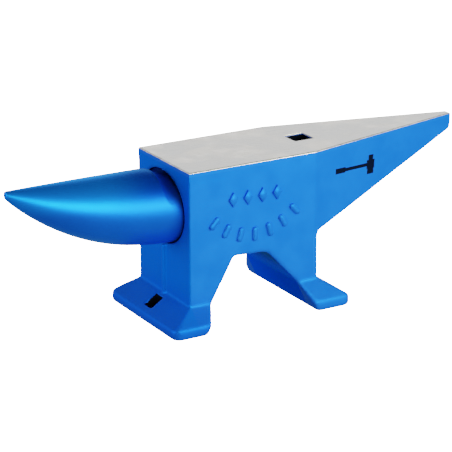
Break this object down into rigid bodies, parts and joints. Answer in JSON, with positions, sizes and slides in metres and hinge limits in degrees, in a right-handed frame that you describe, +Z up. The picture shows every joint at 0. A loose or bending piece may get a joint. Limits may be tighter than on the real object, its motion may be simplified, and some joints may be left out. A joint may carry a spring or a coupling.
{
  "type": "anvil",
  "caption": "Double-ended bench anvil: painted cast body on two splayed feet, bare steel face plate with a square tool hole, round horn and tapering flat heel.",
  "frame": {"origin": "middle of the overall length and width, at the level of the underside of the feet", "axes": "+X towards the tip of the heel, -X towards the tip of the horn, +Y across the face, +Z up out of the working face"},
  "size_m": [0.476, 0.129, 0.152],
  "materials": {
    "cast_paint": "blue paint on a fine sand-cast skin, satin",
    "horn_paint": "blue paint on a smooth ground surface, gloss",
    "face_steel": "bare ground steel, fine grinding marks",
    "plain_steel": "plain turned steel"
  },
  "bodies": {
    "root": {"body": "cast_paint", "face_plate": "face_steel", "face_plate_weld": "cast_paint", "face_plate_dowels": "plain_steel", "horn": "horn_paint", "horn_weld": "cast_paint", "horn_retaining_pin": "plain_steel"}
  },
  "joints": []
}
